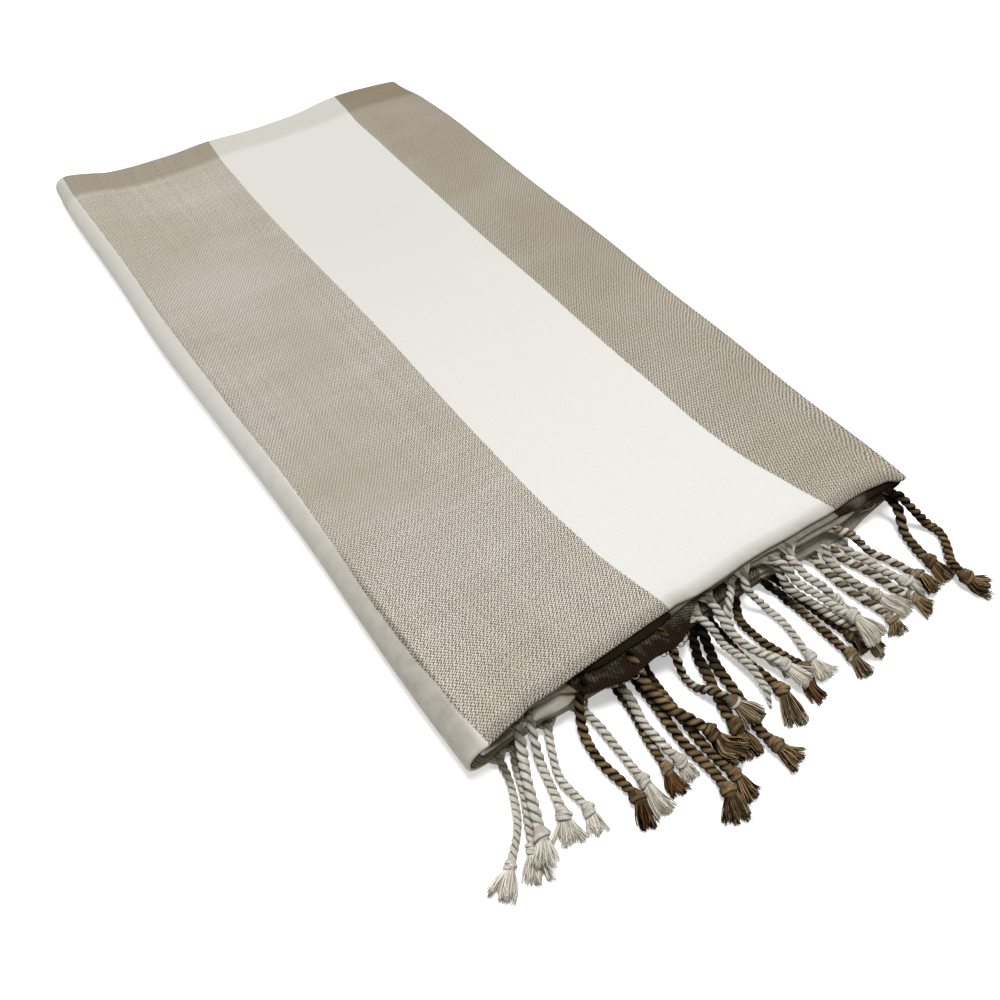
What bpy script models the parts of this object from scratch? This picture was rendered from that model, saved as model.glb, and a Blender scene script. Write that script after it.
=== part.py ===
"""A hammam towel: one striped cotton cloth, folded to a flat stack of sixteen layers, with a twisted and
knotted fringe on each short end. +Z is up, +Y runs from the fringed end to the far folds, and the stack
rests on z = 0. Lengths are in millimetres until a mesh is made."""
import math

import bmesh
import bpy
import numpy as np

MM = 0.001

# The cloth and how its layers lie
SHEET = 1.0                     # thickness of the cloth
GAP = 0.2                       # air between one layer and the next
PITCH = SHEET + GAP
SLAB = 3 * PITCH + SHEET        # the four layers that the two lengthwise folds make
STACK = 4 * SLAB + 3 * GAP      # four such slabs, made by the two crosswise folds
LEFT = 2.5                      # where the flat of the slabs ends at the left folds
RIGHT = 240.5                   # and at the right fold
SELVEDGE = 238.0                # right edges of the two lowest slabs, which are the towel's own sides
FAR = 453.0                     # far folds, before their waves
CLOTH_COLOUR = (0.45, 0.39, 0.31, 1.0)

# How the folded stack settles: it thins towards its far folds, and its long sides wander
SINK = 0.18
SINK_FROM, SINK_TO = 424.0, 455.0
FAR_WAVE_COLUMNS = ("across", "past_far")
FAR_WAVE_ROWS = ((0, 9), (25, 1), (60, 0), (130, 1), (180, 8), (205, 11), (240, 8))
SIDE_COLUMNS = ("along", "left", "right")
SIDE_ROWS = (
    (0, 0.0, 0.0), (45, -0.5, -0.5), (80, 0.0, -1.5), (120, 1.0, 0.3), (160, 1.0, -0.5), (215, 0.0, 2.0),
    (295, -1.2, 2.5), (350, 0.6, 2.5), (400, 1.2, 2.5), (430, 1.5, 0.5), (460, 3.5, -1.0),
)

# Near edge of each fold and of the fringed ends, measured along Y, at places across the towel
EDGE_COLUMNS = ("across", "top_fold", "upper_ends", "third_fold", "second_fold", "lower_ends", "bottom_fold")
EDGE_ROWS = (
    (0, 3.0, 4.0, 5.0, 5.0, 3.0, 4.0),
    (30, 7.0, 4.0, 6.0, 4.5, 4.0, 4.5),
    (60, 8.5, 0.0, 4.0, 3.0, 2.0, 3.0),
    (90, 9.2, -0.5, 4.0, 3.0, 1.0, 2.0),
    (115, 8.8, 7.0, 9.0, 4.0, 2.0, 3.0),
    (150, 8.6, 7.5, 9.0, 4.5, 3.0, 4.0),
    (180, 7.2, 4.0, 6.0, 3.0, 0.0, 3.0),
    (210, 6.2, 2.0, 4.0, 2.0, 0.0, 3.5),
    (240, 0.5, -2.0, 3.0, 3.0, 2.0, 3.5),
)

# The fringe: a strip of the towel's end, and tassels that grow out of it
STRIP = 6.0                     # width of the strip
STRIP_THICK = 0.8
PART_GAP = 0.3                  # between the strip and the cloth's edge
ROOT = 7.0                      # length over which the gathered yarns thicken to the full cord
FILL = 0.86                     # share of a cord's round that the four-sided strand fills
CLEAR = 0.5                     # air between one tassel and another
FALL = 20.0                     # length in which a cord from the upper slabs comes down to the floor
SLOPE = 0.8                     # steepest rise of a cord over another
STEP = 5.5                      # cord length between two sections, each turned on by TURN
TURN = math.radians(45)
FRINGE_COLOUR = (0.20, 0.15, 0.10, 1.0)

# One row for each tassel, in the order in which they lie on each other. over is 1 for one that lies on
# others, slab counts from the bottom, end says which short end it belongs to, and root_x is where it leaves
# the strip. It runs out past a near and a mid point to its knot, and its tuft ends at the tip. cord is the
# diameter and spread the tuft's width.
TASSEL_COLUMNS = ("over", "slab", "end", "root_x", "near_x", "near_y", "mid_x", "mid_y", "knot_x", "knot_y",
                  "tip_x", "tip_y", "cord", "spread")
TASSEL_ROWS = (
    (0, 1, "first", 8, 5, -6, -1, -20, -13, -33, -23, -42, 4.8, 9),
    (0, 1, "second", 15, 11, -6, 5, -20, -4, -34, -10, -46, 5.4, 9),
    (0, 2, "second", 27, 21, -6, 16, -18, 13, -29, 8, -41, 5.8, 11),
    (0, 1, "first", 30, 27, -8, 23, -20, 22, -35, 19, -44, 5.6, 8),
    (0, 1, "second", 47, 46, -8, 47, -22, 48, -39, 46, -52, 5.6, 9),
    (0, 1, "first", 62, 62, -10, 60, -25, 56, -40, 54, -51, 5.6, 9),
    (0, 2, "second", 72, 72, -12, 71, -35, 70, -59, 66, -70, 6.2, 10),
    (0, 1, "second", 79, 79, -14, 78, -36, 78, -54, 80, -66, 5.8, 9),
    (0, 2, "first", 107, 103, -8, 98, -22, 91, -42, 90, -56, 6.2, 10),
    (0, 1, "second", 112, 109, -9, 105, -26, 99, -55, 101, -68, 6.0, 10),
    (0, 1, "first", 119, 120, -10, 121, -26, 119, -41, 116, -55, 6.0, 10),
    (0, 2, "second", 128, 128, -9, 131, -22, 135, -38, 134, -52, 6.0, 9),
    (0, 2, "first", 151, 154, -8, 156, -24, 156, -46, 156, -56, 5.8, 8),
    (0, 1, "second", 159, 160, -10, 163, -26, 165, -43, 169, -55, 6.0, 9),
    (0, 1, "second", 184, 181, -10, 182, -25, 185, -43, 182, -54, 5.8, 9),
    (0, 2, "second", 190, 188, -8, 189, -20, 190, -30, 194, -48, 5.8, 11),
    (0, 1, "first", 197, 196, -9, 198, -22, 202, -41, 206, -52, 5.8, 9),
    (0, 1, "second", 205, 207, -8, 212, -20, 214, -37, 214, -49, 6.0, 10),
    (0, 4, "first", 49, 43, -5, 39, -18, 39, -40, 37, -53, 6.0, 10),
    (0, 3, "second", 117, 114, -4, 114, -17, 112, -37, 109, -44, 5.4, 6),
    (0, 4, "second", 147, 144, -4, 143, -18, 142, -37, 142, -50, 5.6, 10),
    (0, 3, "first", 143, 128, -3, 125, -16, 127, -30, 125, -41, 5.4, 8),
    (0, 3, "first", 165, 166, -5, 169, -17, 172, -31, 171, -46, 6.0, 10),
    (0, 4, "second", 174, 174, -7, 175, -19, 179, -29, 182, -43, 5.8, 9),
    (0, 3, "second", 234, 236, -7, 229, -21, 223, -34, 220, -48, 6.8, 12),
    (0, 4, "first", 240, 245, -9, 246, -26, 231, -48, 233, -60, 6.2, 11),
    (1, 2, "first", 21, 14, -6, 8, -17, 2, -32, -2, -41, 6.2, 9),
    (1, 2, "first", 64, 64, -9, 64, -23, 65, -39, 64, -50, 5.6, 9),
    (1, 4, "first", 81, 77, -5, 76, -18, 83, -38, 87, -54, 6.8, 14),
    (1, 4, "first", 97, 95, -5, 94, -17, 100, -32, 104, -46, 5.8, 12),
    (1, 3, "first", 125, 121, -3, 122, -16, 131, -33, 133, -46, 6.6, 11),
    (1, 3, "second", 158, 160, -8, 163, -20, 165, -34, 164, -46, 5.6, 9),
    (1, 2, "first", 200, 198, -7, 201, -19, 206, -34, 211, -45, 5.8, 9),
)


def columns(names, rows):
    """A table's columns by name."""
    return {name: [row[i] for row in rows] for i, name in enumerate(names)}


EDGES = columns(EDGE_COLUMNS, EDGE_ROWS)
FAR_WAVE = columns(FAR_WAVE_COLUMNS, FAR_WAVE_ROWS)
SIDES = columns(SIDE_COLUMNS, SIDE_ROWS)
ACROSS = EDGES["across"]
TASSELS = [dict(zip(TASSEL_COLUMNS, row)) for row in TASSEL_ROWS]


def ease(value):
    """A smooth step from 0 to 1."""
    value = np.clip(value, 0.0, 1.0)
    return value * value * (3 - 2 * value)


def eased_table(places, values, at):
    """Value at a place between the rows of a table, level at each row."""
    at = min(max(at, places[0]), places[-1])
    row = max(i for i, place in enumerate(places[:-1]) if place <= at)
    share = ease((at - places[row]) / (places[row + 1] - places[row]))
    return values[row] + (values[row + 1] - values[row]) * share


def edge(name, x):
    return eased_table(ACROSS, EDGES[name], x)


def far_reach(x):
    return FAR + eased_table(FAR_WAVE["across"], FAR_WAVE["past_far"], x)


def settle(point):
    """Where a point of the neatly folded towel lies once the stack has settled."""
    x, y, z = point
    z *= 1 - SINK * ease((y - SINK_FROM) / (SINK_TO - SINK_FROM))
    left, right = (eased_table(SIDES["along"], SIDES[side], y) for side in ("left", "right"))
    return x + left + (right - left) * x / RIGHT, y, z


# The slabs: height at which their layers start, which way these follow, and the columns of their near edges
SLABS = {
    1: dict(base=SLAB, up=-1, fold="bottom_fold", ends="lower_ends"),
    2: dict(base=SLAB + GAP, up=1, fold="second_fold", ends="lower_ends"),
    3: dict(base=3 * SLAB + 2 * GAP, up=-1, fold="third_fold", ends="upper_ends"),
    4: dict(base=3 * (SLAB + GAP), up=1, fold="top_fold", ends="upper_ends"),
}
LAYER = {"first": 0, "second": 1}      # layer of a slab in which each fringed end lies


def run(slab, start, stop):
    """Stations across one slab, from x = start to x = stop, with the places of its near and far edges."""
    inner = [x for x in ACROSS[1:-1] if min(start, stop) < x < max(start, stop)]
    places = [start, *(inner if stop > start else reversed(inner)), stop]
    row = SLABS[slab]
    return [dict(x=x, z=row["base"], normal=(0, row["up"]), far=far_reach(x),
                 fold=edge(row["fold"], x), ends=edge(row["ends"], x)) for x in places]


def bend(before, after, steps, outward):
    """Stations round a fold, between the last of one slab and the first of the next."""
    middle = (before["z"] + after["z"]) / 2
    radius = abs(before["z"] - after["z"]) / 2
    side = 1 if before["x"] > (LEFT + RIGHT) / 2 else -1
    climb = 1 if after["z"] > before["z"] else -1
    stations = []
    for i in range(1, steps):
        share = i / steps
        angle = -climb * math.pi * (0.5 - share)
        across, height = side * math.cos(angle), math.sin(angle)
        station = dict(x=before["x"] + radius * across, z=middle + radius * height,
                       normal=(outward * across, outward * height))
        for name in ("fold", "ends", "far"):
            station[name] = before[name] + (after[name] - before[name]) * ease(share)
        stations.append(station)
    return stations


def width_stations():
    """The towel from selvedge to selvedge: slab 1, round the outside to 4, back in 3 and out again in 2."""
    slab1, slab4 = run(1, SELVEDGE, LEFT), run(4, LEFT, RIGHT)
    slab3, slab2 = run(3, RIGHT, LEFT), run(2, LEFT, SELVEDGE)
    return (slab1 + bend(slab1[-1], slab4[0], 8, 1) + slab4 + bend(slab4[-1], slab3[0], 6, 1)
            + slab3 + bend(slab3[-1], slab2[0], 6, -1) + slab2)


BODY_PLACES = (70.0, 200.0, 330.0, 420.0, 438.0)     # sections of the layers between their near and far ends


def fold_arc(anchor, centre, start, stop, steps):
    """Section points round a fold of the layers. anchor is the edge it follows, far or near."""
    radius = abs(stop - start) / 2
    sign = 1 if anchor == "far" else -1
    turn = 1 if stop > start else -1
    points = []
    for i in range(steps + 1):
        angle = turn * math.pi * (i / steps - 0.5)
        points.append((anchor, sign * radius * math.cos(angle), centre + radius * math.sin(angle)))
    return points


def layer_line(height, outbound):
    places = BODY_PLACES if outbound else reversed(BODY_PLACES)
    return [("place", place, height) for place in places]


def cloth_section():
    """Outline of the four layers of a slab, as (anchor, offset along Y, height), once round the cut cloth."""
    low = [i * PITCH for i in range(4)]
    top = [i * PITCH + SHEET for i in range(4)]
    middle, near_middle = (low[0] + top[3]) / 2, (low[2] + top[3]) / 2
    return ([("ends", 0, low[0])] + layer_line(low[0], True)
            + fold_arc("far", middle, low[0], top[3], 6) + layer_line(top[3], False)
            + fold_arc("fold", near_middle, top[3], low[2], 4) + layer_line(low[2], True)
            + fold_arc("far", middle, low[2], top[1], 2) + layer_line(top[1], False)
            + [("ends", 0, top[1]), ("ends", 0, low[1])] + layer_line(low[1], True)
            + fold_arc("far", middle, low[1], top[2], 4) + layer_line(top[2], False)
            + fold_arc("fold", near_middle, top[2], low[3], 2) + layer_line(low[3], True)
            + fold_arc("far", middle, low[3], top[0], 4) + layer_line(top[0], False)
            + [("ends", 0, top[0])])


def swept_mesh(name, section, ends_offset):
    """Carries a section across the towel, through all crosswise folds, and closes it at the selvedges."""
    mesh = bmesh.new()
    rings = []
    half_slab = SLAB / 2
    for station in width_stations():
        ring = []
        for anchor, offset, height in section:
            if anchor == "place":
                y = offset
            elif anchor == "far":
                y = station["far"] - half_slab + offset
            elif anchor == "fold":
                y = station["fold"] + (PITCH + SHEET) / 2 + offset
            else:
                y = station["ends"] + ends_offset + offset
            x = station["x"] + station["normal"][0] * height
            z = station["z"] + station["normal"][1] * height
            ring.append(mesh.verts.new([c * MM for c in settle((x, y, z))]))
        rings.append(ring)
    count = len(section)
    for ring, following in zip(rings, rings[1:]):
        for i in range(count):
            j = (i + 1) % count
            mesh.faces.new((ring[i], ring[j], following[j], following[i]))
    mesh.faces.new(rings[0])
    mesh.faces.new(rings[-1])
    bmesh.ops.recalc_face_normals(mesh, faces=mesh.faces[:])
    data = bpy.data.meshes.new(name)
    mesh.to_mesh(data)
    mesh.free()
    return data


# Tassels ---------------------------------------------------------------------------------------------------

def smooth_line(points, steps=10):
    """A smooth line through all of the points."""
    points = np.array(points, float)
    span = np.linalg.norm(np.diff(points, axis=0), axis=1)
    speed = np.diff(points, axis=0) / span[:, None]
    inner = (speed[:-1] * span[1:, None] + speed[1:] * span[:-1, None]) / (span[:-1] + span[1:])[:, None]
    speed = np.concatenate([speed[:1], inner, speed[-1:]])
    line = [points[0]]
    for i, length in enumerate(span):
        for t in np.linspace(0, 1, steps + 1)[1:]:
            line.append((2 * t**3 - 3 * t**2 + 1) * points[i] + (t**3 - 2 * t**2 + t) * length * speed[i]
                        + (3 * t**2 - 2 * t**3) * points[i + 1] + (t**3 - t**2) * length * speed[i + 1])
    return np.array(line)


def tassel_girth(row, along, knot_at, end_at):
    """Half width and half thickness of a tassel at a distance from its root."""
    cord = row["cord"] / 2 * FILL
    thin = STRIP_THICK / 2 - 0.1
    if along < ROOT:
        grown = thin + (cord - thin) * ease(along / ROOT)
        return grown, grown
    to_knot = abs(along - knot_at) / cord
    if to_knot < 1.0:
        swell = 1 - to_knot**2
        return cord * (1 + 0.4 * swell), cord * (1 + 0.25 * swell)
    if along < knot_at:
        return cord, cord
    share = ease((along - knot_at - cord) / (end_at - knot_at - cord))
    return cord + (row["spread"] / 2 - cord) * share, cord * (1 - 0.35 * share)


def plan_tassel(row):
    """A tassel's line seen from above, in steps of about 1 mm, and its half widths and half thicknesses."""
    start_y = edge(SLABS[row["slab"]]["ends"], row["root_x"])
    stops = [(row["root_x"], start_y + STRIP / 2), (row["root_x"], start_y)]
    stops += [(row[stop + "_x"], row[stop + "_y"]) for stop in ("near", "mid", "knot", "tip")]
    line = smooth_line(stops)
    along = np.concatenate([[0], np.cumsum(np.linalg.norm(np.diff(line, axis=0), axis=1))]) - STRIP / 2
    knot_at = along[-11]
    places = np.linspace(-STRIP / 2, along[-1], round(along[-1] + STRIP / 2) + 1)
    plan = np.stack([np.interp(places, along, line[:, k]) for k in (0, 1)], axis=1)
    girth = np.array([tassel_girth(row, place, knot_at, along[-1]) for place in places])
    return dict(row=row, places=places, plan=plan, girth=girth, knot_at=knot_at)


def part_neighbours(tassels):
    """Moves tassels that lie on the floor sideways until they lie beside each other."""
    for _ in range(40):
        shifts = [np.zeros_like(tassel["plan"]) for tassel in tassels]
        for i, one in enumerate(tassels):
            for j, other in enumerate(tassels[:i]):
                away = one["plan"][:, None] - other["plan"][None]
                apart = np.linalg.norm(away, axis=2)
                short = one["girth"][:, None, 0] + other["girth"][None, :, 0] + CLEAR - apart
                short = np.where((one["plan"][:, None, 1] < -6) & (other["plan"][None, :, 1] < -6), short, 0)
                if short.max() <= 0:
                    continue
                push = (np.maximum(short, 0) / apart)[:, :, None] * away * 0.3
                shifts[i] += push[np.arange(len(push)), short.argmax(axis=1)]
                shifts[j] -= push[short.argmax(axis=0), np.arange(push.shape[1])]
        for tassel, shift in zip(tassels, shifts):
            hold = ease((tassel["places"] - ROOT) / 10)[:, None]
            soft = [np.convolve(np.pad(shift[:, k], 4, "edge"), np.ones(9) / 9, "valid") for k in (0, 1)]
            tassel["plan"] = tassel["plan"] + np.stack(soft, axis=1) * hold


def lay_tassels():
    """Lays the tassels one after another, each on the floor or over those that it crosses."""
    tassels = [plan_tassel(row) for row in TASSELS]
    part_neighbours([tassel for tassel in tassels if not tassel["row"]["over"]])
    for number, tassel in enumerate(tassels):
        row, places, plan, girth = (tassel[name] for name in ("row", "places", "plan", "girth"))
        slab = SLABS[row["slab"]]
        root_z = slab["base"] + slab["up"] * (LAYER[row["end"]] * PITCH + SHEET / 2)
        rest = girth[:, 1]
        fall = FALL if row["slab"] > 2 else 1.5 * ROOT
        height = rest + np.maximum(root_z - rest, 0) * (1 - ease(places / fall))
        height = np.maximum(height, rest)
        if row["slab"] > 2:
            for i, (x, y) in enumerate(plan):
                lip = min(edge(name, x) for name in ("second_fold", "lower_ends", "bottom_fold"))
                if y > lip - girth[i, 0] - CLEAR:
                    height[i] = max(height[i], 2 * SLAB + GAP + CLEAR + girth[i, 1])
        for other in tassels[:number]:
            apart = np.linalg.norm(plan[:, None] - other["plan"][None], axis=2)
            reach = girth[:, None, 0] + other["girth"][None, :, 0] + CLEAR
            lift = girth[:, None, 1] + other["girth"][None, :, 1] + CLEAR
            over = lift * np.sqrt(np.clip(1 - (apart / reach) ** 2, 0, None))
            height = np.maximum(height, np.where(apart < reach, other["height"][None] + over, 0).max(axis=1))
        height = (height[None] - SLOPE * np.abs(places[:, None] - places[None])).max(axis=1)
        tassel["height"] = np.where(places > 1.0, height, root_z)
    return tassels


def tassel_sections(tassel):
    """Distances along a tassel at which it has a section, and how far each is turned."""
    cord = tassel["row"]["cord"] / 2
    neck = tassel["knot_at"] - cord
    count = max(2, round((neck - ROOT) / STEP))
    places = [-STRIP / 2, 0.6, 0.3 * ROOT, 0.65 * ROOT]
    places += [ROOT + (neck - ROOT) * i / count for i in range(count + 1)]
    places += [tassel["knot_at"], tassel["knot_at"] + cord]
    turns = [TURN] * 3 + [TURN * i for i in range(len(places) - 3)]
    end = tassel["places"][-1]
    return list(zip(places + [(places[-1] + end) / 2, end], turns + [0, 0]))


def add_tassel(mesh, tassel):
    """Adds one tassel to the mesh as a closed four-sided strand, turned on like a twisted cord."""
    places, plan = tassel["places"], tassel["plan"]
    rings = []
    for place, turn in tassel_sections(tassel):
        x, y, z, wide, thick = (np.interp(place, places, values)
                                for values in (*plan.T, tassel["height"], *tassel["girth"].T))
        before, after = ([np.interp(place + step, places, row) for row in plan.T] for step in (-0.7, 0.7))
        way = np.subtract(after, before)
        side = np.array((-way[1], way[0])) / math.hypot(*way)
        ring = []
        for k in range(4):
            angle = turn + k * math.pi / 2
            corner = side * wide * math.cos(angle) + (x, y)
            ring.append(mesh.verts.new([c * MM for c in (*corner, z + thick * math.sin(angle))]))
        rings.append(ring)
    for ring, following in zip(rings, rings[1:]):
        for k in range(4):
            j = (k + 1) % 4
            mesh.faces.new((ring[k], ring[j], following[j], following[k]))
    mesh.faces.new(rings[0])
    mesh.faces.new(rings[-1])


def tassel_mesh(name, tassels):
    """All of one end's tassels, still apart from each other, as one mesh."""
    mesh = bmesh.new()
    for tassel in tassels:
        add_tassel(mesh, tassel)
    bmesh.ops.recalc_face_normals(mesh, faces=mesh.faces[:])
    data = bpy.data.meshes.new(name)
    mesh.to_mesh(data)
    mesh.free()
    return data


# Assembly --------------------------------------------------------------------------------------------------

def material(name, colour, roughness):
    """A plain dull surface."""
    made = bpy.data.materials.new(name)
    made.use_nodes = True
    shader = made.node_tree.nodes["Principled BSDF"]
    shader.inputs["Base Color"].default_value = colour
    shader.inputs["Roughness"].default_value = roughness
    shader.inputs["Metallic"].default_value = 0.0
    return made


def place_object(name, data, collection, made=None):
    item = bpy.data.objects.new(name, data)
    collection.objects.link(item)
    if made:
        data.materials.append(made)
    return item


def add_cloth(parts):
    """The folded towel, one solid from selvedge to selvedge."""
    data = swept_mesh("towel", cloth_section(), STRIP + PART_GAP)
    return place_object("towel", data, parts, material("striped cotton", CLOTH_COLOUR, 0.9))


def add_fringe(name, end, laid, parts, cutters, made):
    """One short end's strip through all of the crosswise folds, with that end's tassels joined to it."""
    low = LAYER[end] * PITCH + (SHEET - STRIP_THICK) / 2
    high = low + STRIP_THICK
    section = [("ends", 0, low), ("ends", STRIP, low), ("ends", STRIP, high), ("ends", 0, high)]
    strip = place_object(name, swept_mesh(name, section, 0), parts, made)
    tassels = [tassel for tassel in laid if tassel["row"]["end"] == end]
    strands = place_object(name + "_strands", tassel_mesh(name + "_strands", tassels), cutters)
    strands.hide_render = True
    strands.display_type = "WIRE"
    join = strip.modifiers.new("join strands", "BOOLEAN")
    join.operation = "UNION"
    join.solver = "EXACT"
    join.object = strands
    return [strip, strands]


def centre_on_origin(items):
    """Puts the middle of the whole towel, seen from above, on the origin."""
    points = np.array([corner for item in items for corner in (v.co[:] for v in item.data.vertices)])
    middle = (points.min(axis=0) + points.max(axis=0)) / 2
    for item in items:
        item.location = (-middle[0], -middle[1], 0)


def main():
    for item in list(bpy.data.objects):
        bpy.data.objects.remove(item, do_unlink=True)
    parts = bpy.data.collections.new("hammam_towel")
    cutters = bpy.data.collections.new("strands_to_join")
    for collection in (parts, cutters):
        bpy.context.scene.collection.children.link(collection)
    laid = lay_tassels()
    yarn = material("fringe yarn", FRINGE_COLOUR, 0.9)
    items = [add_cloth(parts)]
    items += add_fringe("fringe_first", "first", laid, parts, cutters, yarn)
    items += add_fringe("fringe_second", "second", laid, parts, cutters, yarn)
    centre_on_origin(items)


main()
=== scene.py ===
"""Looks of a folded hammam towel: broad white and beige stripes in a flat cotton weave, and a fringe of
twisted cords, knotted near their ends. Lengths are in millimetres until a mesh is made: x runs from the left
folds to the right one, y from the near edge to the far folds, and z is up from the floor."""
import math
import random
from types import SimpleNamespace

import bpy
import numpy as np
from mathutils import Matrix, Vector


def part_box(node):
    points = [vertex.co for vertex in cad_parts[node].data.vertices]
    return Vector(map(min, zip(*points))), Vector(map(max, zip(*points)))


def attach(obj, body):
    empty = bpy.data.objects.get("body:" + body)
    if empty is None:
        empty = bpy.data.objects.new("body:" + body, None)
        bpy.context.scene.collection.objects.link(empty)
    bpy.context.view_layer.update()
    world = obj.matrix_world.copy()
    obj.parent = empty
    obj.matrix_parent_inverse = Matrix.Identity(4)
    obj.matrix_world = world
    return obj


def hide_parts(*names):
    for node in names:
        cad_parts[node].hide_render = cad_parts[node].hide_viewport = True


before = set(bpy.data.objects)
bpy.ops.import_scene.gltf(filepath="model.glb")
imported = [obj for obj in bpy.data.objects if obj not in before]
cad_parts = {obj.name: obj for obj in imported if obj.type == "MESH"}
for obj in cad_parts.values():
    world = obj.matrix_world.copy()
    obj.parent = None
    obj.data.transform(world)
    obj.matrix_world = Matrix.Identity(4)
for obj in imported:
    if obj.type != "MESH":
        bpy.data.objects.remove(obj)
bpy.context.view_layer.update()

MM = 0.001

# The folded towel, as its solid has it
CLOTH = 0.8  # thickness of the sheet that shows
LAYER_MIDDLES = (0.5, 1.7, 2.9, 4.1)
SLAB = 4.6  # four layers, folded lengthwise
SLAB_GAP = 0.2  # air between one slab and the next
LEFT, RIGHT, SELVEDGE = 2.5, 240.5, 238.0
SINK, SINK_FROM, SINK_TO = 0.18, 424.0, 455.0  # how much the far end is pressed flat, and where
TOWEL_LEFT, TOWEL_FAR = -7.06, 463.83  # the solid's own corners in these coordinates

# Edges seen from above, as (across, along): the top fold's near edge, the far folds, and the near edges below
# the top fold
TOP_FOLD = (
    (-8, 1.5), (4, 3.2), (8, 3.9), (14, 5.1), (19, 5.5), (25, 7.1), (34, 7.1), (50, 7.9), (66, 8.5),
    (82, 9.1), (98, 9.4), (105, 9.5), (110, 8.6), (127, 8.1), (146, 8.7), (158, 8.4), (170, 7.6), (182, 7.3),
    (195, 6.5), (216, 6.7), (222, 6.1), (228, 5.1), (234, 4.0), (238, 1.3), (246, -0.5),
)
FAR_EDGE = (
    (-8, 464), (3, 463), (16, 459), (24, 455.5), (32, 454), (63, 453), (91, 455), (133, 454.5), (160, 457),
    (183, 461.5), (195, 463.4), (208, 464), (223, 463), (246, 461),
)
EDGE_COLUMNS = ("top_ends", "upper_ends", "third_fold", "second_fold", "lower_ends", "bottom_fold")
EDGE_ROWS = (
    (0, 9, 8, 5, 5, 3, 4), (15, 9.5, 8, 4, 5, 5, 4), (30, 10, 8, 2.8, 4.5, 4, 4.5),
    (41, 9.5, 6.5, 1.8, 4, 3, 3.5), (46, 9, 3, 3, 3.8, 3, 3.2), (51, 8, 0.3, 6, 3.5, 3, 3),
    (58, 6.5, -1.6, 9.5, 3, 2, 3), (66, 6, -4.6, 10, 3, 1.5, 2.5), (73, 5.5, -3.2, 10, 3, 1.5, 2.5),
    (80, 5.5, -2, 10, 3, 1.2, 2.5), (88, 6.5, -2.8, 10, 3, 1, 2), (97, 7.6, -2.8, 10, 3.4, 1.3, 2.3),
    (103, 8.2, 0, 10, 3.5, 1.5, 2.5), (112, 9, 7, 9.5, 4, 2, 3), (124, 9, 9.5, 9.5, 4, 2, 3),
    (150, 8, 7, 9, 4.5, 3, 4), (180, 5, 3.2, 6, 3, 0, 3), (206, 3.5, 2, 4, 2, -1.6, 3.5),
    (216, 3, 2, 4, 2, 0, 3.5), (228, 2.5, 1.5, 3.5, 2.5, 3, 3.5), (240, 2.5, 2.5, 4.5, 3, 3.5, 3.5),
)
# How far the long sides have wandered from straight lines
SIDE_COLUMNS = ("left", "right")
SIDE_ROWS = (
    (0, 0, 0), (45, -0.5, 0.5), (80, 0, 0.5), (120, 1, 0.8), (160, 1, 0.5), (215, 0, 2),
    (295, -1.2, 2.5), (350, 0.6, 2.5), (400, 1.2, 2.5), (430, 1.5, 0.5), (460, 3.5, -1),
)
# Where the top layer's stripes change, across the towel, at places along it
STRIPE_COLUMNS = ("band", "beige_ends", "white_ends")
STRIPE_ROWS = (
    (4, 3.4, 100.2, 199.8), (14, 2.4, 99.6, 197.6), (24, 1.7, 97.4, 194.6), (34, 1.8, 95.2, 192.2),
    (46, 1, 92.8, 188.8), (58, 0.7, 91.9, 186.3), (77, 0.4, 90.5, 184.1), (116, 0.8, 89.2, 183.5),
    (165, 1.4, 89.2, 183.9), (208, 1.1, 90.4, 183.7), (280, 1.7, 90.2, 183.7), (326, 1.5, 89.3, 184.1),
    (388, 1.1, 89.2, 186.1), (423, 0.8, 91, 187.8), (447, 0.6, 94.3, 193), (460, 0.6, 96, 195),
)
STRIPE_PITCH, BEIGE_WIDTH, FIRST_BEIGE = 184.5, 88.0, 116.5
WARP_PITCH, WEFT_PITCH = 0.83, 0.98
FAR_TURN = 457.0  # the far fold's place along the cloth, from the fringed end


def curves(names, rows):
    """A table's columns by name, each with the first column's places."""
    places, *columns = np.array(rows, float).T
    return {name: (places, column) for name, column in zip(names, columns)}


EDGES = {**curves(EDGE_COLUMNS, EDGE_ROWS), **curves(["top_fold"], TOP_FOLD), **curves(["far"], FAR_EDGE)}
SIDES = curves(SIDE_COLUMNS, SIDE_ROWS)
STRIPES = curves(STRIPE_COLUMNS, STRIPE_ROWS)


def ease(value):
    """A smooth step from 0 to 1."""
    value = np.clip(value, 0.0, 1.0)
    return value * value * (3 - 2 * value)


def within(value, start, stop, soft):
    """1 between two places and 0 outside them, with soft ends."""
    return ease((value - start) / soft) * ease((stop - value) / soft)


def bridge(t, start, end, leave, arrive):
    """The place at a share t of a soft curve, from its two ends and its speeds there."""
    return ((2 * t**3 - 3 * t**2 + 1) * start + (t**3 - 2 * t**2 + t) * leave
            + (3 * t**2 - 2 * t**3) * end + (t**3 - t**2) * arrive)


def distances(points):
    """How far along a line each of its points lies."""
    return np.concatenate([[0], np.cumsum(np.linalg.norm(np.diff(points, axis=0), axis=1))])


def add_object(name, data):
    item = bpy.data.objects.new(name, data)
    bpy.context.scene.collection.objects.link(item)
    return item


def add_mesh(name, points, faces, uv_name, uv):
    """A smooth-shaded object from towel millimetres, and its UV map."""
    mesh = bpy.data.meshes.new(name)
    mesh.from_pydata(to_frame(points).tolist(), [], faces)
    mesh.uv_layers.new(name=uv_name).data.foreach_set("uv", uv.astype(np.float32).reshape(-1))
    mesh.shade_smooth()
    return add_object(name, mesh)


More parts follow.
